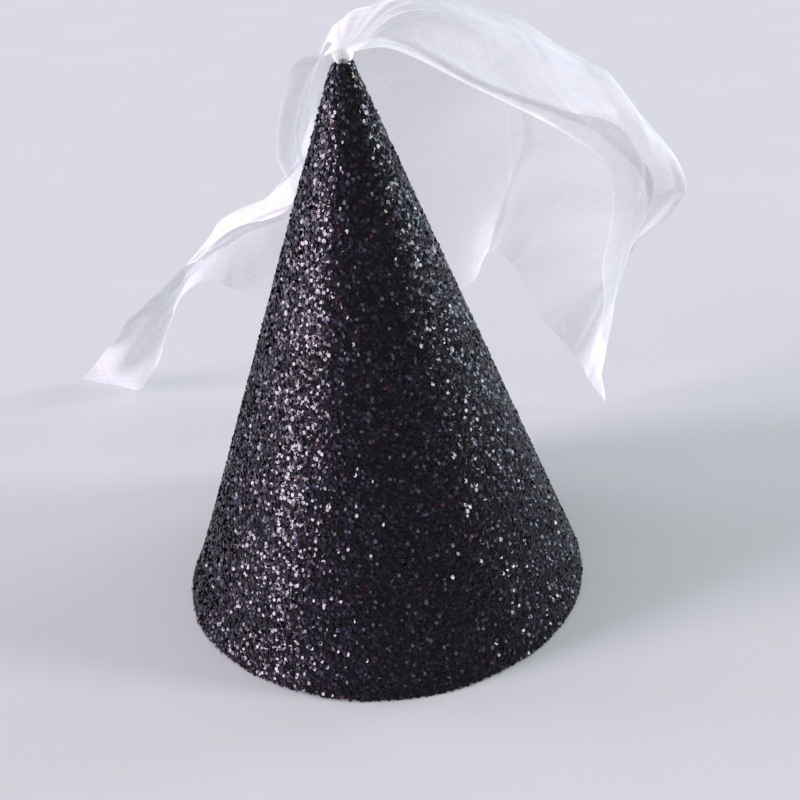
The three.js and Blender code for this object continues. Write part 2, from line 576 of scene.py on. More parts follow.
def make_object(name: str, points: np.ndarray, faces: np.ndarray, material: bpy.types.Material,
                crease_deg: float = 180.0) -> bpy.types.Object:
    """Makes a smooth-shaded mesh object at the origin.

    Args:
        name: The object's name.
        points: Its points, in metres.
        faces: Its faces' point indices.
        material: Its material.
        crease_deg: Edges that turn more than this stay sharp.

    Returns:
        The object.
    """
    mesh = bpy.data.meshes.new(name)
    mesh.from_pydata(points.reshape(-1, 3).tolist(), [], faces.tolist())
    mesh.shade_smooth()
    if crease_deg < 180.0:
        mesh.set_sharp_from_angle(angle=math.radians(crease_deg))
    mesh.materials.append(material)
    return add_object(name, mesh)


def shell_faces(rows: int, columns: int) -> np.ndarray:
    """Faces of a thin closed shell, with the outer grid's points first and then the inner grid's.

    Args:
        rows: Rows of points in each grid.
        columns: Points in a row.

    Returns:
        Four point indices for each face.
    """
    outer = np.arange(rows * columns).reshape(rows, columns)
    inner = outer + rows * columns
    return np.concatenate([
        grid_faces(rows, columns), grid_faces(rows, columns, rows * columns, flip=True),
        strip_faces(inner[0], outer[0])[:, ::-1], strip_faces(inner[-1], outer[-1]),
        strip_faces(inner[:, 0], outer[:, 0]), strip_faces(inner[:, -1], outer[:, -1])[:, ::-1],
    ])


def grow(host: bpy.types.Object, tree: bpy.types.NodeTree, values: Mapping[str, Any],
         name: str) -> bpy.types.Object:
    """Runs a geometry node tree on an object and keeps its result as a plain mesh.

    Args:
        host: The object that the tree starts from. It is removed.
        tree: The tree.
        values: The tree's inputs, by name.
        name: The new object's name.

    Returns:
        The new object.
    """
    modifier = host.modifiers.new(name, "NODES")
    modifier.node_group = tree
    for item in tree.interface.items_tree:
        if item.item_type == "SOCKET" and item.in_out == "INPUT" and item.name in values:
            modifier[item.identifier] = values[item.name]
    graph = bpy.context.evaluated_depsgraph_get()
    mesh = bpy.data.meshes.new_from_object(host.evaluated_get(graph), preserve_all_data_layers=True,
                                           depsgraph=graph)
    host.modifiers.remove(modifier)
    bpy.data.objects.remove(host)
    mesh.name = name
    return add_object(name, mesh)


def end_growth(graph: Graph, shape: bpy.types.NodeSocket, finish: bpy.types.NodeSocket,
               result: bpy.types.NodeSocket) -> None:
    """Ends a geometry tree with plain, dressed meshes.

    Args:
        graph: The tree's graph.
        shape: The instances or meshes to end with.
        finish: The material's socket.
        result: The tree's result.
    """
    plain = graph.add("GeometryNodeRealizeInstances", {"Geometry": shape})
    done = graph.add("GeometryNodeSetMaterial", {"Geometry": plain.outputs[0], "Material": finish})
    graph.link(done.outputs[0], result)


def keep(piece: bpy.types.Object, slot: Slot, *nodes: str) -> None:
    """Puts a finished piece on the hat's body.

    Args:
        piece: The piece.
        slot: The material slot its finish belongs to. Not used.
        nodes: The CAD nodes that it stands for.
    """
    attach(piece, BODY)
    if nodes:
        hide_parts(*nodes)
    LOG.info("%s: %d faces", piece.name, len(piece.data.polygons))


# ---------------------------------------------------------------- cone


@dataclass(frozen=True)
class ConeShape:
    """The lapped cone that all rolled layers follow."""

    rim_radius: float
    height: float
    tip_radius: float = 2.6 * MM
    flake_room: float = 0.4 * MM
    lap_low: float = 1.7 * MM
    lap_high: float = 0.7 * MM
    lap_taper: float = 9.0 * MM
    seam_edge_deg: float = 168.0
    lap_deg: float = 18.0
    lap_clear_deg: float = 8.0
    lap_ramp_deg: float = 34.0
    unevenness: float = 0.22 * MM
    rolls: Waves = ((1.0, 3, 1.1, 2.0), (0.6, 7, 0.0, 6.0), (0.35, 13, 0.0, -9.0))

    @classmethod
    def from_frame(cls) -> "ConeShape":
        """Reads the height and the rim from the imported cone, with room at the rim for the flakes."""
        low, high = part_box("glitter_cone")
        bare_share = 0.99
        return cls(rim_radius=bare_share * high.x, height=high.z - low.z)

    @property
    def turn_deg(self) -> float:
        """The azimuth that the sheet covers, with its lap."""
        return 360.0 + self.lap_deg

    def radius(self, height: np.ndarray | float) -> Any:
        """Outside radius of the cone at a height."""
        return self.rim_radius + (self.tip_radius - self.rim_radius) * np.asarray(height) / self.height

    def lift(self, azimuth_deg: np.ndarray, height: np.ndarray) -> np.ndarray:
        """How far the sheet stands off the cone, over its own inner end and down past it.

        Args:
            azimuth_deg: Azimuth along the roll, from the free edge.
            height: Height above the rim. The sheet stands off most at the rim.

        Returns:
            The distance at each place.
        """
        past = azimuth_deg - self.seam_edge_deg - self.lap_deg - self.lap_clear_deg
        pitch = self.lap_low + (self.lap_high - self.lap_low) * smoothstep(height, 0.0, self.lap_taper)
        return pitch * (1.0 - smoothstep(past, 0.0, self.lap_ramp_deg))

    def wave(self, azimuth: np.ndarray, height: np.ndarray) -> np.ndarray:
        """The slight waviness of a hand-rolled cone, less towards the tip."""
        share = height / self.height
        return self.unevenness * (1.0 - share) * ripple(self.rolls, azimuth, share)

    def points(self, azimuth_deg: np.ndarray, height: np.ndarray, outset: np.ndarray | float) -> np.ndarray:
        """Points on a rolled layer.

        Args:
            azimuth_deg: Azimuth along the roll, from the free edge.
            height: Height above the rim.
            outset: Distance outside the cone's own surface.

        Returns:
            An array of points.
        """
        azimuth = np.radians(azimuth_deg)
        radius = (self.radius(height) - self.flake_room + outset + self.lift(azimuth_deg, height)
                  + self.wave(azimuth, height))
        return round_axis(radius, azimuth, height)

    def grid(self, columns: int, rows: int, top: float) -> list[np.ndarray]:
        """Azimuths in degrees and heights of a grid over the whole roll, up to a height."""
        return np.meshgrid(self.seam_edge_deg + np.linspace(0.0, self.turn_deg, columns),
                           np.linspace(0.0, top, rows))

    def roll(self, name: str, inset: float, thickness: float, top: float, columns: int, rows: int,
             material: bpy.types.Material) -> bpy.types.Object:
        """Builds a closed rolled layer.

        Args:
            name: The object's name.
            inset: From the cone's outside to the layer's outside.
            thickness: The layer's thickness.
            top: Height of its upper edge.
            columns: Points round the roll.
            rows: Points up the roll.
            material: Its material.

        Returns:
            The object.
        """
        around, up = self.grid(columns, rows, top)
        outer = self.points(around, up, -inset)
        inner = self.points(around, up, -inset - thickness)
        return make_object(name, np.concatenate([outer.reshape(-1, 3), inner.reshape(-1, 3)]),
                           shell_faces(rows, columns), material, crease_deg=40.0)


@dataclass(frozen=True)
class FlakeLayer:
    """One layer of flakes, and how they lie in it."""

    name: str
    count: int
    tilt_deg: float
    lifts: Span
    brightest: float


@dataclass
class GlitterCone:
    """The rolled glitter cloth: its backing and three layers of flakes."""

    shape: ConeShape
    thickness: float = 0.4 * MM
    columns: int = 230
    rows: int = 60
    flake_width: float = 1.02 * MM
    width_spread: float = 0.16
    layers: Sequence[FlakeLayer] = (
        FlakeLayer("glitter_flakes_bed", 48000, 12.0, (0.05 * MM, 0.16 * MM), 0.86),
        FlakeLayer("glitter_flakes_middle", 46000, 15.0, (0.16 * MM, 0.34 * MM), 0.93),
        FlakeLayer("glitter_flakes_loose", 20000, 24.0, (0.3 * MM, 0.5 * MM), 1.0),
    )
    # Each flake is turned twice, and each turn has this share of the tilt.
    turn_share: float = 0.7
    host_columns: int = 190
    seed: int = 17
    seed_step: int = 40

    def scatter_tree(self) -> bpy.types.NodeTree:
        """Builds the tree that scatters flakes over a surface.

        Returns:
            The tree.
        """
        graph, take, result = new_group(
            "flake_scatter", "GeometryNodeTree",
            {"Geometry": "Geometry", "Density": 1.0, "Flake Radius": 0.6 * MM, "Size Spread": 0.15,
             "Tilt": 0.2, "Lift Low": 0.0, "Lift High": 0.2 * MM, "Brightest": 1.0, "Seed": 1,
             "Finish": "Material"}, {"Geometry": "Geometry"})
        seeds = [graph.math("ADD", take["Seed"], float(step)) for step in range(1, 8)]

        def number(low: Any, high: Any, seed: int) -> bpy.types.NodeSocket:
            """A random number for each point, with one of the seeds."""
            node = graph.add("FunctionNodeRandomValue", {2: low, 3: high, "Seed": seeds[seed]},
                             data_type="FLOAT")
            return node.outputs[1]

        spots = graph.add("GeometryNodeDistributePointsOnFaces",
                          {"Mesh": take["Geometry"], "Density": take["Density"], "Seed": take["Seed"]})
        lift = graph.add("ShaderNodeVectorMath", {0: spots.outputs["Normal"],
                                                  "Scale": number(take["Lift Low"], take["Lift High"], 0)},
                         operation="SCALE")
        raised = graph.add("GeometryNodeSetPosition", {"Geometry": spots.outputs["Points"],
                                                       "Offset": lift.outputs[0]}).outputs[0]
        for name, value in (("flake_shade", number(0.0, take["Brightest"], 1)),
                            ("flake_tint", number(0.0, 1.0, 2))):
            raised = graph.add("GeometryNodeStoreNamedAttribute",
                               {"Geometry": raised, "Name": name, "Value": value},
                               data_type="FLOAT", domain="POINT").outputs[0]
        less = graph.math("MULTIPLY", take["Tilt"], -1.0)
        turned = spots.outputs["Rotation"]
        for seed in (3, 4):
            tilt = graph.add("ShaderNodeCombineXYZ", {0: number(less, take["Tilt"], seed),
                                                      1: number(less, take["Tilt"], seed + 1),
                                                      2: number(0.0, math.tau, seed)})
            rotation = graph.add("FunctionNodeEulerToRotation", {0: tilt.outputs[0]})
            turned = graph.add("FunctionNodeRotateRotation", {0: turned, 1: rotation.outputs[0]},
                               rotation_space="LOCAL").outputs[0]
        flake = graph.add("GeometryNodeMeshCircle", {"Vertices": 6, "Radius": take["Flake Radius"]},
                          fill_type="NGON")
        size = number(graph.math("SUBTRACT", 1.0, take["Size Spread"]),
                      graph.math("ADD", 1.0, take["Size Spread"]), 6)
        flakes = graph.add("GeometryNodeInstanceOnPoints", {"Points": raised, "Instance": flake.outputs[0],
                                                            "Rotation": turned, "Scale": size})
        end_growth(graph, flakes.outputs[0], take["Finish"], result[0])
        return graph.tree

    def host(self) -> bpy.types.Object:
        """The open outer surface on which flakes are scattered.

        Returns:
            The object.
        """
        around, up = self.shape.grid(self.host_columns, self.rows, self.shape.height)
        # The inner end lies under the outer one, where no flake shows.
        around = np.minimum(around, self.shape.seam_edge_deg + 360.0)
        surface = self.shape.points(around, up, 0.0)
        mesh = bpy.data.meshes.new("flake_host")
        faces = grid_faces(self.rows, self.host_columns)
        mesh.from_pydata(surface.reshape(-1, 3).tolist(), [], faces.tolist())
        return add_object("flake_host", mesh)

    def build(self) -> None:
        """Builds the cloth and its flakes."""
        cloth = self.shape.roll("glitter_cloth_backing", 0.0, self.thickness, self.shape.height,
                                self.columns, self.rows, GlitterBacking().material())
        keep(cloth, Slot.GLITTER, "glitter_cone")
        finish = GlitterFlake().material()
        tree = self.scatter_tree()
        slant = math.hypot(self.shape.height, self.shape.rim_radius - self.shape.tip_radius)
        area = math.pi * (self.shape.rim_radius + self.shape.tip_radius) * slant
        for order, layer in enumerate(self.layers):
            tilt = math.radians(layer.tilt_deg) * self.turn_share
            values = {"Density": layer.count / area, "Flake Radius": self.flake_width / math.sqrt(3.0),
                      "Size Spread": self.width_spread, "Tilt": tilt,
                      "Lift Low": layer.lifts[0], "Lift High": layer.lifts[1],
                      "Brightest": layer.brightest, "Seed": self.seed + self.seed_step * order,
                      "Finish": finish}
            keep(grow(self.host(), tree, values, layer.name), Slot.GLITTER)


@dataclass
class Stiffener:
    """The felt cone inside, laminated to the glitter cloth and rolled with it."""

    shape: ConeShape
    effects: Effects
    inset: float = 0.42 * MM
    thickness: float = 0.3 * MM
    setback: float = 14.0 * MM
    columns: int = 200
    rows: int = 40

    def build(self) -> None:
        """Builds the felt cone."""
        felt = self.shape.roll("stiffener_felt_cone", self.inset, self.thickness,
                               self.shape.height - self.setback, self.columns, self.rows,
                               Felt(self.effects).material())
        keep(felt, Slot.FELT, "stiffener_cone")


@dataclass
class SeamGlue:
    """The bead of hot glue, pressed flat between the two ends of the lap."""

    shape: ConeShape
    effects: Effects
    inset_deg: float = 3.2
    gap: float = -0.38 * MM
    thickness: float = 0.06 * MM
    bottom: float = 3.0 * MM
    top: float = 146.7 * MM
    edge_waver_deg: float = 0.9
    edge_waves: Waves = ((1.0, 900.0, 0.0, 0.0), (0.6, 2100.0, 1.0, 0.0))
    # The far edge wavers less, and the other way.
    far_waver: float = 0.6
    swell: float = 0.01 * MM
    swell_waves: Waves = ((1.0, 1400.0, 0.0, 5.0),)
    rows: int = 220
    columns: int = 16

    def build(self) -> None:
        """Builds the pressed bead, with uneven edges and an uneven outside."""
        up = np.linspace(self.bottom, self.top, self.rows)[:, None]
        share = np.linspace(0.0, 1.0, self.columns)[None, :]
        waver = self.edge_waver_deg * ripple(self.edge_waves, up)
        start = self.shape.seam_edge_deg + self.inset_deg + waver
        span = self.shape.lap_deg - 2.0 * self.inset_deg - (1.0 + self.far_waver) * waver
        azimuth = np.radians(start + share * span)
        inside = self.shape.radius(up) + self.gap + self.shape.wave(azimuth, up)
        outside = inside + self.thickness + self.swell * ripple(self.swell_waves, up, share)
        layers = [round_axis(radius, azimuth, up).reshape(-1, 3) for radius in (outside, inside)]
        strip = make_object("seam_glue_bead", np.concatenate(layers), shell_faces(self.rows, self.columns),
                            HotGlue(self.effects).material(), crease_deg=50.0)
        keep(strip, Slot.GLUE, "seam_glue_strip")


# ---------------------------------------------------------------- inside the tip


@dataclass
class VeilTie:
    """Thread wound in two layers round the gathered end of the veil."""

    outer_radius: float
    bottom: float
    top: float
    thread: float = 0.45 * MM
    turns: float = 4.0

    @classmethod
    def from_frame(cls) -> "VeilTie":
        """Reads the winding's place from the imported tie."""
        low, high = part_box("veil_tie_thread")
        return cls(outer_radius=(high.x - low.x) / 2, bottom=low.z, top=high.z)

    def tree(self) -> bpy.types.NodeTree:
        """Builds the tree that winds the thread.

        Returns:
            The tree.
        """
        graph, take, result = new_group(
            "thread_winding", "GeometryNodeTree",
            {"Geometry": "Geometry", "Inner Radius": 2.0 * MM, "Thread": 0.45 * MM, "Height": 2.0 * MM,
             "Turns": 4.0, "Bottom": 100.0 * MM, "Finish": "Material"}, {"Geometry": "Geometry"})
        half = graph.math("MULTIPLY", take["Thread"], 0.5)
        rise = graph.math("SUBTRACT", take["Height"], take["Thread"])
        profile = graph.add("GeometryNodeCurvePrimitiveCircle", {"Resolution": 8, "Radius": half})
        start = graph.add("ShaderNodeCombineXYZ", {2: graph.math("ADD", take["Bottom"], half)})
        join = graph.add("GeometryNodeJoinGeometry")
        # The middles of the two layers, in threads from the inside.
        for layer in (0.5, 1.5):
            radius = graph.math("ADD", take["Inner Radius"], graph.math("MULTIPLY", take["Thread"], layer))
            wound = graph.add("GeometryNodeCurveSpiral",
                              {"Resolution": 40, "Rotations": take["Turns"], "Start Radius": radius,
                               "End Radius": radius, "Height": rise, "Reverse": layer > 1.0})
            tube = graph.add("GeometryNodeCurveToMesh", {"Curve": wound.outputs[0],
                                                         "Profile Curve": profile.outputs[0],
                                                         "Fill Caps": True})
            moved = graph.add("GeometryNodeTransform", {"Geometry": tube.outputs[0],
                                                        "Translation": start.outputs[0]})
            graph.link(moved.outputs[0], join.inputs[0])
        end_growth(graph, join.outputs[0], take["Finish"], result[0])
        return graph.tree

    def build(self) -> None:
        """Winds the thread."""
        host = add_object("winding_host", bpy.data.meshes.new("winding_host"))
        values = {"Inner Radius": self.outer_radius - 2.0 * self.thread, "Thread": self.thread,
                  "Height": self.top - self.bottom, "Turns": self.turns, "Bottom": self.bottom,
                  "Finish": Thread().material()}
        piece = grow(host, self.tree(), values, "veil_tie_winding")
        piece.data.shade_smooth()
        keep(piece, Slot.THREAD, "veil_tie_thread")


@dataclass
class TipGlue:
    """The blob of hot glue that holds the gathered end inside the tip."""

    effects: Effects
    hole_radius: float = 2.1 * MM
    floor: float = 2.4 * MM
    taper: float = 0.37
    lump: float = 0.12 * MM
    lump_waves: Waves = ((1.0, 5, 0.0, 900.0), (0.7, 9, 0.0, -1500.0))
    # Where the underside and the lumpy outside end, in corners of the profile.
    underside_end: float = 2.5
    outside_end: float = 5.5
    rows: int = 97
    columns: int = 73

    def profile(self) -> list[Span]:
        """Radii and heights of the blob's corners, up its outside and down into its blind hole."""
        low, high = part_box("tip_glue_plug")
        wide = (high.x - low.x) / 2
        narrow = wide - (high.z - low.z) * self.taper
        return [(0.0, low.z + 0.3 * MM), (0.5 * wide, low.z), (0.92 * wide, low.z + 0.1 * MM),
                (wide, low.z + 0.6 * MM), (narrow + 0.3 * MM, high.z - 0.5 * MM),
                (narrow, high.z - 0.1 * MM), (self.hole_radius, high.z),
                (self.hole_radius, low.z + self.floor), (0.0, low.z + self.floor)]

    def build(self) -> None:
        """Builds the blob, lumpy outside, with a blind hole for the gathered end."""
        corners = np.array(self.profile())
        order = np.arange(len(corners))
        steps = np.linspace(0.0, len(corners) - 1.0, self.rows)
        radius, height = (np.interp(steps, order, column)[:, None] for column in corners.T)
        turn = np.linspace(0.0, math.tau, self.columns)[None, :]
        underside, outside = ((steps < end)[:, None] for end in (self.underside_end, self.outside_end))
        rough = self.lump * outside * ripple(self.lump_waves, turn, height)
        wide = corners[:, 0].max()
        radius = np.where(radius > 0, np.minimum(radius + rough - self.lump * outside, wide), 0.0)
        points = round_axis(radius, turn, height + 0.5 * rough * underside)
        blob = make_object("tip_glue_blob", points, grid_faces(self.rows, self.columns),
                           HotGlue(self.effects).material(), crease_deg=70.0)
        weld(blob)
        keep(blob, Slot.GLUE, "tip_glue_plug")


def weld(piece: bpy.types.Object, distance: float = 1e-7) -> None:
    """Merges the doubled points of seams and poles, and turns the faces outwards.

    Args:
        piece: The object.
        distance: Points closer than this are one.
    """
    shape = bmesh.new()
    shape.from_mesh(piece.data)
    bmesh.ops.remove_doubles(shape, verts=shape.verts, dist=distance)
    bmesh.ops.dissolve_degenerate(shape, edges=shape.edges, dist=distance)
    bmesh.ops.recalc_face_normals(shape, faces=shape.faces)
    shape.to_mesh(piece.data)
    shape.free()


# ---------------------------------------------------------------- veil


def curve_points(knots: np.ndarray, shares: np.ndarray) -> np.ndarray:
    """Points on centripetal Catmull-Rom curves.

    Args:
        knots: The curves' points, with the points of a curve along the first axis.
        shares: Where along the curves, from 0 to 1 with equal shares between knots.

    Returns:
        The points, with the shares along the first axis.
    """
    first = 2 * knots[:1] - knots[1:2]
    last = 2 * knots[-1:] - knots[-2:-1]
    padded = np.concatenate([first, knots, last])
    place = np.clip(shares, 0.0, 1.0) * (len(knots) - 1)
    cell = np.minimum(place.astype(int), len(knots) - 2)
    weight = (place - cell).reshape((-1,) + (1,) * (knots.ndim - 1))
    p0, p1, p2, p3 = (padded[cell + step] for step in range(4))

    def gap(a: np.ndarray, b: np.ndarray) -> np.ndarray:
        """Square root of the distance, as centripetal curves use."""
        return np.maximum(np.sqrt(np.linalg.norm(b - a, axis=-1, keepdims=True)), 1e-5)

    d0, d1, d2 = gap(p0, p1), gap(p1, p2), gap(p2, p3)
    t1 = ((p1 - p0) / d0 - (p2 - p0) / (d0 + d1) + (p2 - p1) / d1) * d1
    t2 = ((p2 - p1) / d1 - (p3 - p1) / (d1 + d2) + (p3 - p2) / d2) * d1
    c2 = -3 * p1 + 3 * p2 - 2 * t1 - t2
    c3 = 2 * p1 - 2 * p2 + t1 + t2
    return p1 + weight * (t1 + weight * (c2 + weight * c3))


@dataclass(frozen=True)
class Fold:
    """A knife fold, where the sheet doubles back over itself.

    Its line runs from one share across at the neck end to another at the hem end.
    """

    near: float
    far: float
    depth: float
    half_width: float
    start: float
    end: float
    gap: float = 1.2 * MM
    fade_in: float = 0.12
    fade_out: float = 0.3
    left_at_end: float = 0.15

    def bend(self, share: float, across: np.ndarray) -> tuple[np.ndarray, np.ndarray]:
        """How the fold moves the columns of one row.

        Args:
            share: The row, from 0 at the neck to 1 at the hem.
            across: The columns' shares across.

        Returns:
            How far the columns slide back across, and how far they rise off the sheet.
        """
        opened = 1.0 - (1.0 - self.left_at_end) * smoothstep(share, self.end - self.fade_out, self.end)
        fade = smoothstep(share, self.start, self.start + self.fade_in) * opened
        centre = self.near + (self.far - self.near) * share
        local = np.clip((across - centre) / self.half_width, -1.0, 1.0)
        curl = fade * np.sin(math.pi * local)
        return self.depth * curl, self.gap * curl * (0.5 + 0.5 * np.cos(math.pi * local))**0.5


@dataclass(frozen=True)
class Relief:
    """Gathers by the neck, soft waves and crisp creases, all as offsets off the smooth sheet."""

    pleat_height: float = 0.3 * MM
    pleats: Waves = ((1.0, math.tau * 7, 0.0, 1.0), (0.6, math.tau * 12, 0.0, -1.7))
    pleat_drift: Waves = ((0.6, 30.0, 0.0, 4.0),)
    pleats_full: float = 30.0 * MM
    pleats_fade: Span = (40.0 * MM, 110.0 * MM)
    pleats_lost: float = 0.75
    wave_count: int = 7
    wave_height: float = 0.4 * MM
    wave_lengths: Span = (30.0 * MM, 75.0 * MM)
    waves_start: Span = (20.0 * MM, 80.0 * MM)
    crease_count: int = 26
    crease_heights: Span = (0.5 * MM, 1.4 * MM)
    crease_widths: Span = (2.0 * MM, 6.0 * MM)
    crease_reaches: Span = (12.0 * MM, 45.0 * MM)
    creased_side: Span = (-120.0 * MM, 120.0 * MM)
    creased_length: Span = (50.0 * MM, 220.0 * MM)
    seed: int = 5

    def offset(self, distance: np.ndarray, across: np.ndarray, flat: np.ndarray) -> np.ndarray:
        """Adds up the gathers, waves and creases.

        Args:
            distance: Distance from the neck along the cloth.
            across: Shares across.
            flat: Places on the flat cut.

        Returns:
            The offset of each point.
        """
        random = np.random.default_rng(self.seed)
        lost = self.pleats_lost * smoothstep(distance, *self.pleats_fade)
        near = smoothstep(distance, 0.0, self.pleats_full) * (1.0 - lost)
        drift = ripple(self.pleat_drift, distance, across)
        total = self.pleat_height * near * ripple(self.pleats, across, drift)
        waving = self.wave_height * smoothstep(distance, *self.waves_start)
        for _ in range(self.wave_count):
            angle, length = random.uniform(0, math.pi), random.uniform(*self.wave_lengths)
            wave = flat[..., 0] * math.cos(angle) + flat[..., 1] * math.sin(angle)
            total += waving * np.sin(math.tau * wave / length + random.uniform(0, math.tau))
        for _ in range(self.crease_count):
            middle = np.array([random.uniform(*self.creased_side), random.uniform(*self.creased_length)])
            angle, reach = random.uniform(0, math.pi), random.uniform(*self.crease_reaches)
            along = np.array([math.cos(angle), math.sin(angle)])
            apart = flat - middle
            side = np.abs(apart[..., 0] * along[1] - apart[..., 1] * along[0])
            body = np.exp(-side / random.uniform(*self.crease_widths)) * np.exp(-(apart @ along / reach)**2)
            total += random.choice([-1.0, 1.0]) * random.uniform(*self.crease_heights) * body
        return total


@dataclass
class Veil:
    """The organza: a right-angled corner of cloth, gathered into the tip and let fall behind."""

    shape: ConeShape
    effects: Effects
    left_reach: float = 126.0 * MM
    right_reach: float = 107.0 * MM
    back_reach: float = 152.0 * MM
    crest: float = 174.0 * MM
    neck_radius: float = 3.0 * MM
    neck_rise: float = 2.5 * MM
    root_radius: float = 1.053 * MM
    root_rise: float = 2.9 * MM
    root_span_deg: float = 310.0
    root_opening: float = 1.5 * MM
    root_gathers: Waves = ((0.18, math.tau * 12, 0.0, 0.0), (0.09, math.tau * 19, 1.0, 0.0))
    cone_gap: float = 3.6 * MM
    cone_gap_fade: float = 8.0 * MM
    floor_gap: float = 0.6 * MM
    selvage: Span = (0.8 * MM, 2.0 * MM)
    gathered: float = 0.25
    gathered_end: Span = (-6.0 * MM, 1.0 * MM)
    cut_side: float = 260.0 * MM
    cut_area: float = 0.0338
    columns: int = 430
    rows: int = 150
    stem_rows: int = 16
    fine_columns: int = 1200
    fine_rows: int = 400
    # Shares of the side reach, the back reach and the crest's height, from the neck to the hem.
    ribs: Mapping[str, Sequence[Triple]] = field(default_factory=lambda: {
        "left_edge": [(-0.1, 0.03, 0.94), (-0.17, 0.09, 0.79), (-0.15, 0.17, 0.68), (-0.37, 0.29, 0.58),
                      (-0.65, 0.57, 0.35), (-1, 1, 0.007)],
        "left_tail": [(-0.06, 0.08, 0.925), (-0.13, 0.16, 0.79), (-0.13, 0.25, 0.66), (-0.38, 0.42, 0.52),
                      (-0.62, 0.68, 0.29), (-0.8, 0.91, 0.007)],
        "left_arch": [(-0.03, 0.13, 0.94), (-0.08, 0.25, 0.84), (-0.1, 0.37, 0.7), (-0.24, 0.49, 0.6),
                      (-0.37, 0.57, 0.51), (-0.46, 0.6, 0.39)],
        "back_left": [(-0.01, 0.16, 0.97), (-0.03, 0.32, 0.91), (-0.08, 0.45, 0.78), (-0.14, 0.51, 0.64),
                      (-0.22, 0.55, 0.49), (-0.29, 0.58, 0.34)],
        "back_right": [(0.07, 0.16, 0.99), (0.15, 0.33, 0.95), (0.21, 0.49, 0.84), (0.26, 0.57, 0.68),
                       (0.3, 0.58, 0.52), (0.34, 0.55, 0.34)],
        "crest": [(0.15, 0.13, 1), (0.39, 0.26, 0.96), (0.63, 0.39, 0.845), (0.69, 0.49, 0.68),
                  (0.58, 0.54, 0.55), (0.45, 0.51, 0.43)],
        "right_lobe": [(0.17, 0.09, 0.99), (0.49, 0.2, 0.91), (0.82, 0.28, 0.76), (1, 0.34, 0.58),
                       (0.88, 0.45, 0.44), (0.62, 0.53, 0.25)],
        "front_lobe": [(0.13, 0.05, 0.97), (0.39, 0.12, 0.87), (0.71, 0.21, 0.77), (0.9, 0.31, 0.62),
                       (0.88, 0.46, 0.42), (0.76, 0.62, 0.11)],
        "right_edge": [(0.11, 0.03, 0.95), (0.32, 0.08, 0.87), (0.6, 0.16, 0.75), (0.73, 0.24, 0.66),
                       (0.76, 0.36, 0.38), (0.84, 0.6, 0.007)],
    })
    folds: Sequence[Fold] = (
        Fold(near=0.95, far=0.93, depth=0.022, half_width=0.03, start=0.02, end=0.8),
        Fold(near=0.97, far=0.84, depth=0.05, half_width=0.05, start=0.3, end=0.72),
        Fold(near=0.7, far=0.74, depth=0.02, half_width=0.03, start=0.05, end=0.7),
        Fold(near=0.14, far=0.2, depth=0.01, half_width=0.026, start=0.0, end=1.0),
        Fold(near=0.27, far=0.3, depth=0.02, half_width=0.03, start=0.0, end=0.8),
        Fold(near=0.52, far=0.6, depth=0.018, half_width=0.024, start=0.1, end=1.0),
    )
    relief: Relief = Relief()

    @property
    def neck(self) -> float:
        """The height at which the cloth spreads out."""
        return self.shape.height + self.neck_rise

    def surface(self) -> tuple[np.ndarray, np.ndarray]:
        """The smooth sheet, before folds, with many columns.

        Returns:
            Points with rows down along the first axis, and each column's length.
        """
        names = list(self.ribs)
        ribs = []
        for order, name in enumerate(names):
            azimuth = math.pi * (1.0 - order / (len(names) - 1))
            knots = [(self.neck_radius * math.cos(azimuth), self.neck_radius * math.sin(azimuth), self.neck)]
            for across, back, up in self.ribs[name]:
                reach = self.left_reach if across < 0 else self.right_reach
                knots.append((across * reach, back * self.back_reach, up * self.crest))
            ribs.append(knots)
        down = curve_points(np.array(ribs).transpose(1, 0, 2), np.linspace(0.0, 1.0, self.fine_rows))
        sheet = curve_points(down.transpose(1, 0, 2), np.linspace(0.0, 1.0, self.fine_columns))
        steps = np.linalg.norm(np.diff(sheet, axis=1), axis=-1)
        travelled = np.concatenate([np.zeros((self.fine_columns, 1)), np.cumsum(steps, axis=1)], axis=1)
        even = np.linspace(0.0, 1.0, self.rows)
        points = np.empty((self.rows, self.fine_columns, 3))
        for column in range(self.fine_columns):
            at = even * travelled[column, -1]
            for axis in range(3):
                points[:, column, axis] = np.interp(at, travelled[column], sheet[column, :, axis])
        return points, travelled[:, -1]

    @staticmethod
    def normals(points: np.ndarray) -> np.ndarray:
        """Unit normals of a grid of points.

        Args:
            points: The grid.

        Returns:
            A normal for each point.
        """
        down = np.gradient(points, axis=0)
        across = np.gradient(points, axis=1)
        normal = np.cross(across, down)
        return normal / np.maximum(np.linalg.norm(normal, axis=-1, keepdims=True), 1e-12)

    def folded(self, base: np.ndarray, across: np.ndarray) -> tuple[np.ndarray, np.ndarray]:
        """Lays the knife folds into the smooth sheet.

        Args:
            base: The smooth sheet's points.
            across: The shares across at which the folded sheet has its columns.

        Returns:
            The folded sheet's points, and the way that the cloth faces at each.
        """
        facing = self.normals(base)
        shares = np.linspace(0.0, 1.0, self.fine_columns)
        points = np.empty((self.rows, self.columns, 3))
        aside = np.empty_like(points)
        for row, share in enumerate(np.linspace(0.0, 1.0, self.rows)):
            bends = [fold.bend(share, across) for fold in self.folds]
            place = across - sum(slide for slide, _ in bends)
            for axis in range(3):
                points[row, :, axis] = np.interp(place, shares, base[row, :, axis])
                aside[row, :, axis] = np.interp(place, shares, facing[row, :, axis])
            points[row] += aside[row] * sum(rise for _, rise in bends)[:, None]
        return points, aside

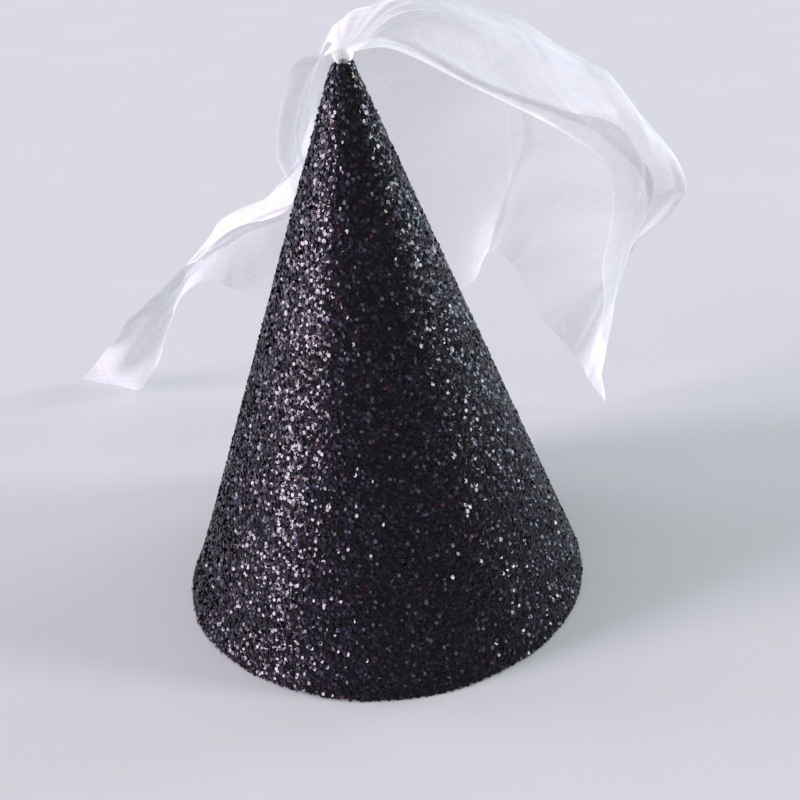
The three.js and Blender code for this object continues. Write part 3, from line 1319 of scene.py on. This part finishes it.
    def stem(self, across: np.ndarray, bottom: float) -> np.ndarray:
        """The gathered end, from the bottom of the root up to the neck.

        Args:
            across: Shares across.
            bottom: Height of its lower end.

        Returns:
            Points with rows up along the first axis.
        """
        rise = np.linspace(0.0, 1.0, self.stem_rows, endpoint=False)[:, None]
        height = bottom + (self.neck - bottom) * rise
        opening = smoothstep(height, self.shape.height - self.root_opening, self.neck)
        span = math.radians(self.root_span_deg) * (1.0 - opening) + math.pi * opening
        tight = self.root_radius * (1.0 + ripple(self.root_gathers, across[None, :]))
        radius = tight * (1.0 - opening) + self.neck_radius * opening
        return round_axis(radius, math.pi / 2 + (0.5 - across[None, :]) * span, height)

    def clear(self, points: np.ndarray) -> np.ndarray:
        """Keeps cloth off the cone and above the floor.

        Args:
            points: The cloth's points.

        Returns:
            The points, moved where they have to be.
        """
        radius = np.linalg.norm(points[..., :2], axis=-1)
        least = self.shape.radius(points[..., 2]) + self.cone_gap
        below = 1.0 - smoothstep(points[..., 2], self.shape.height - self.cone_gap_fade, self.shape.height)
        push = np.maximum(least - radius, 0.0) * below
        moved = points.copy()
        moved[..., :2] *= (1.0 + push / np.maximum(radius, 1e-6))[..., None]
        moved[..., 2] = np.maximum(moved[..., 2], self.floor_gap)
        return moved

    def build(self) -> None:
        """Builds the veil as one sheet."""
        base, lengths = self.surface()
        across = np.linspace(0.0, 1.0, self.columns)
        points, aside = self.folded(base, across)
        share = np.linspace(0.0, 1.0, self.rows)[:, None]
        fine = np.linspace(0.0, 1.0, self.fine_columns)
        distance = share * np.interp(across, fine, lengths)[None, :]
        fan = (across[None, :] - 0.5) * math.pi / 2
        flat = np.stack([distance * np.sin(fan), distance * np.cos(fan)], -1)
        points = self.clear(points + aside * self.relief.offset(distance, across[None, :], flat)[..., None])
        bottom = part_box("tip_glue_plug")[0].z + self.root_rise
        stem = self.stem(across, bottom)
        grid = np.concatenate([stem, points])
        piece = make_object("organza_veil_sheet", grid, grid_faces(len(grid), self.columns),
                            Organza(self.effects).material())
        self.paint(piece, across, flat, np.concatenate([stem[:, :, 2] - self.neck, distance]))
        keep(piece, Slot.ORGANZA, "organza_veil")

    def paint(self, piece: bpy.types.Object, across: np.ndarray, flat: np.ndarray, down: np.ndarray) -> None:
        """Stores the flat cut as a UV map, and where the cloth is dense, which also sets where its painted
        glow is brightest.

        Args:
            piece: The veil.
            across: Shares across.
            flat: The sheet's places on the flat cut, without the stem.
            down: Distance of each point from the neck, less than 0 on the stem.
        """
        mesh = piece.data
        along = down[:self.stem_rows]
        stem = flat[:1] + np.stack([np.zeros_like(along), along], -1)
        places = np.concatenate([stem, flat]).reshape(-1, 2)
        loops = np.empty(len(mesh.loops), int)
        mesh.loops.foreach_get("vertex_index", loops)
        layer = mesh.uv_layers.new(name="flat_cut")
        layer.data.foreach_set("uv", places[loops].ravel())
        to_edge = np.minimum(across, 1.0 - across)[None, :] * math.pi / 2
        side = to_edge * np.maximum(down, self.selvage[1])
        for name, mask in (("selvage", 1.0 - smoothstep(side, *self.selvage)),
                           ("gathered", self.gathered * (1.0 - smoothstep(down, *self.gathered_end)))):
            attribute = mesh.attributes.new(name, "FLOAT", "POINT")
            attribute.data.foreach_set("value", np.asarray(mask, float).ravel())


# ---------------------------------------------------------------- studio


@dataclass(frozen=True)
class Lamp:
    """A soft light from far off, so that it falls evenly on the hat and the whole floor."""

    name: str
    place: Triple
    spread_deg: float
    strength: float
    colour: Triple = (1.0, 1.0, 1.0)
    aim_height: float = 80.0 * MM

    def hang(self) -> None:
        """Adds the light to the scene, aimed at the middle of the hat."""
        light = bpy.data.lights.new(self.name, "SUN")
        light.angle = math.radians(self.spread_deg)
        light.energy = self.strength
        light.color = self.colour
        holder = add_object(self.name, light)
        holder.location = self.place
        away = Vector(self.place) - Vector((0.0, 0.0, self.aim_height))
        holder.rotation_euler = away.to_track_quat("Z", "Y").to_euler()


@dataclass
class Studio:
    """The floor, the lamps and the camera."""

    lamps: Sequence[Lamp] = (
        Lamp("window_left", (-1.35, -0.33, 0.36), 21.5, 5.4, (0.98, 0.82, 1.0)),
        Lamp("left_fill", (-1.4, 0.55, 0.4), 26.0, 1.6, (0.82, 0.76, 1.0)),
        Lamp("right_side", (1.3, -0.22, 0.5), 13.0, 1.9, (0.95, 0.94, 1.0)),
        Lamp("right_fill", (1.4, 0.6, 0.4), 26.0, 1.7, (0.64, 0.78, 1.0)),
        Lamp("overhead", (-0.1, 0.3, 1.8), 70.0, 0.6),
    )
    world: Triple = (0.82, 0.83, 0.85)
    world_strength: float = 0.48
    backdrop_strength: float = 0.8
    floor_reach: float = 30.0
    floor_level: float = -0.6 * MM
    aim: Triple = (0.0, 0.0, 0.0635)
    distance: float = 0.3628
    elevation_deg: float = 28.65
    roll_deg: float = -5.05
    lens: float = 54.0
    shift: Span = (0.0338, -0.0051)

    def floor(self) -> None:
        """Lays the floor."""
        reach, level = self.floor_reach, self.floor_level
        corners = np.array([(-reach, -reach, level), (reach, -reach, level),
                            (reach, reach, level), (-reach, reach, level)])
        floor = make_object("floor", corners, np.array([[0, 1, 2, 3]]), PaleFloor().material())

    def lights(self) -> None:
        """Hangs the lamps and sets the room's light."""
        for lamp in self.lamps:
            lamp.hang()
        room = bpy.data.worlds.new("room")
        room.use_nodes = True
        graph = Graph(room.node_tree)
        background = room.node_tree.nodes["Background"]
        background.inputs["Color"].default_value = (*self.world, 1.0)
        # The backdrop looks as pale as the floor, but lights the hat less.
        seen = graph.add("ShaderNodeLightPath").outputs["Is Camera Ray"]
        strength = graph.spread(seen, (0.0, 1.0), (self.world_strength, self.backdrop_strength))
        graph.link(strength, background.inputs["Strength"])
        bpy.context.scene.world = room

    def camera(self) -> None:
        """Places the camera in front and a little above."""
        tilt = math.radians(self.elevation_deg)
        back = Vector((0.0, -math.cos(tilt), math.sin(tilt)))
        data = bpy.data.cameras.new("camera")
        data.lens = self.lens
        data.sensor_width = 36.0
        data.shift_x, data.shift_y = self.shift
        data.clip_start, data.clip_end = 0.01, 50.0
        camera = add_object("camera", data)
        level = back.to_track_quat("Z", "Y").to_matrix().to_4x4()
        spin = Matrix.Rotation(math.radians(self.roll_deg), 4, "Z")
        camera.matrix_world = Matrix.Translation(Vector(self.aim) + self.distance * back) @ level @ spin
        bpy.context.scene.camera = camera

    def build(self) -> None:
        """Sets up the studio."""
        self.floor()
        self.lights()
        self.camera()
        bpy.context.scene.view_settings.view_transform = "Standard"


def main() -> None:
    """Builds the hat, piece by piece, and the studio round it."""
    logging.basicConfig(level=logging.INFO, format="%(name)s %(message)s")
    shape = ConeShape.from_frame()
    effects = Effects()
    builders = (GlitterCone(shape), Stiffener(shape, effects), SeamGlue(shape, effects),
                VeilTie.from_frame(), TipGlue(effects), Veil(shape, effects), Studio())
    for builder in builders:
        builder.build()


if __name__ == "__main__":
    main()
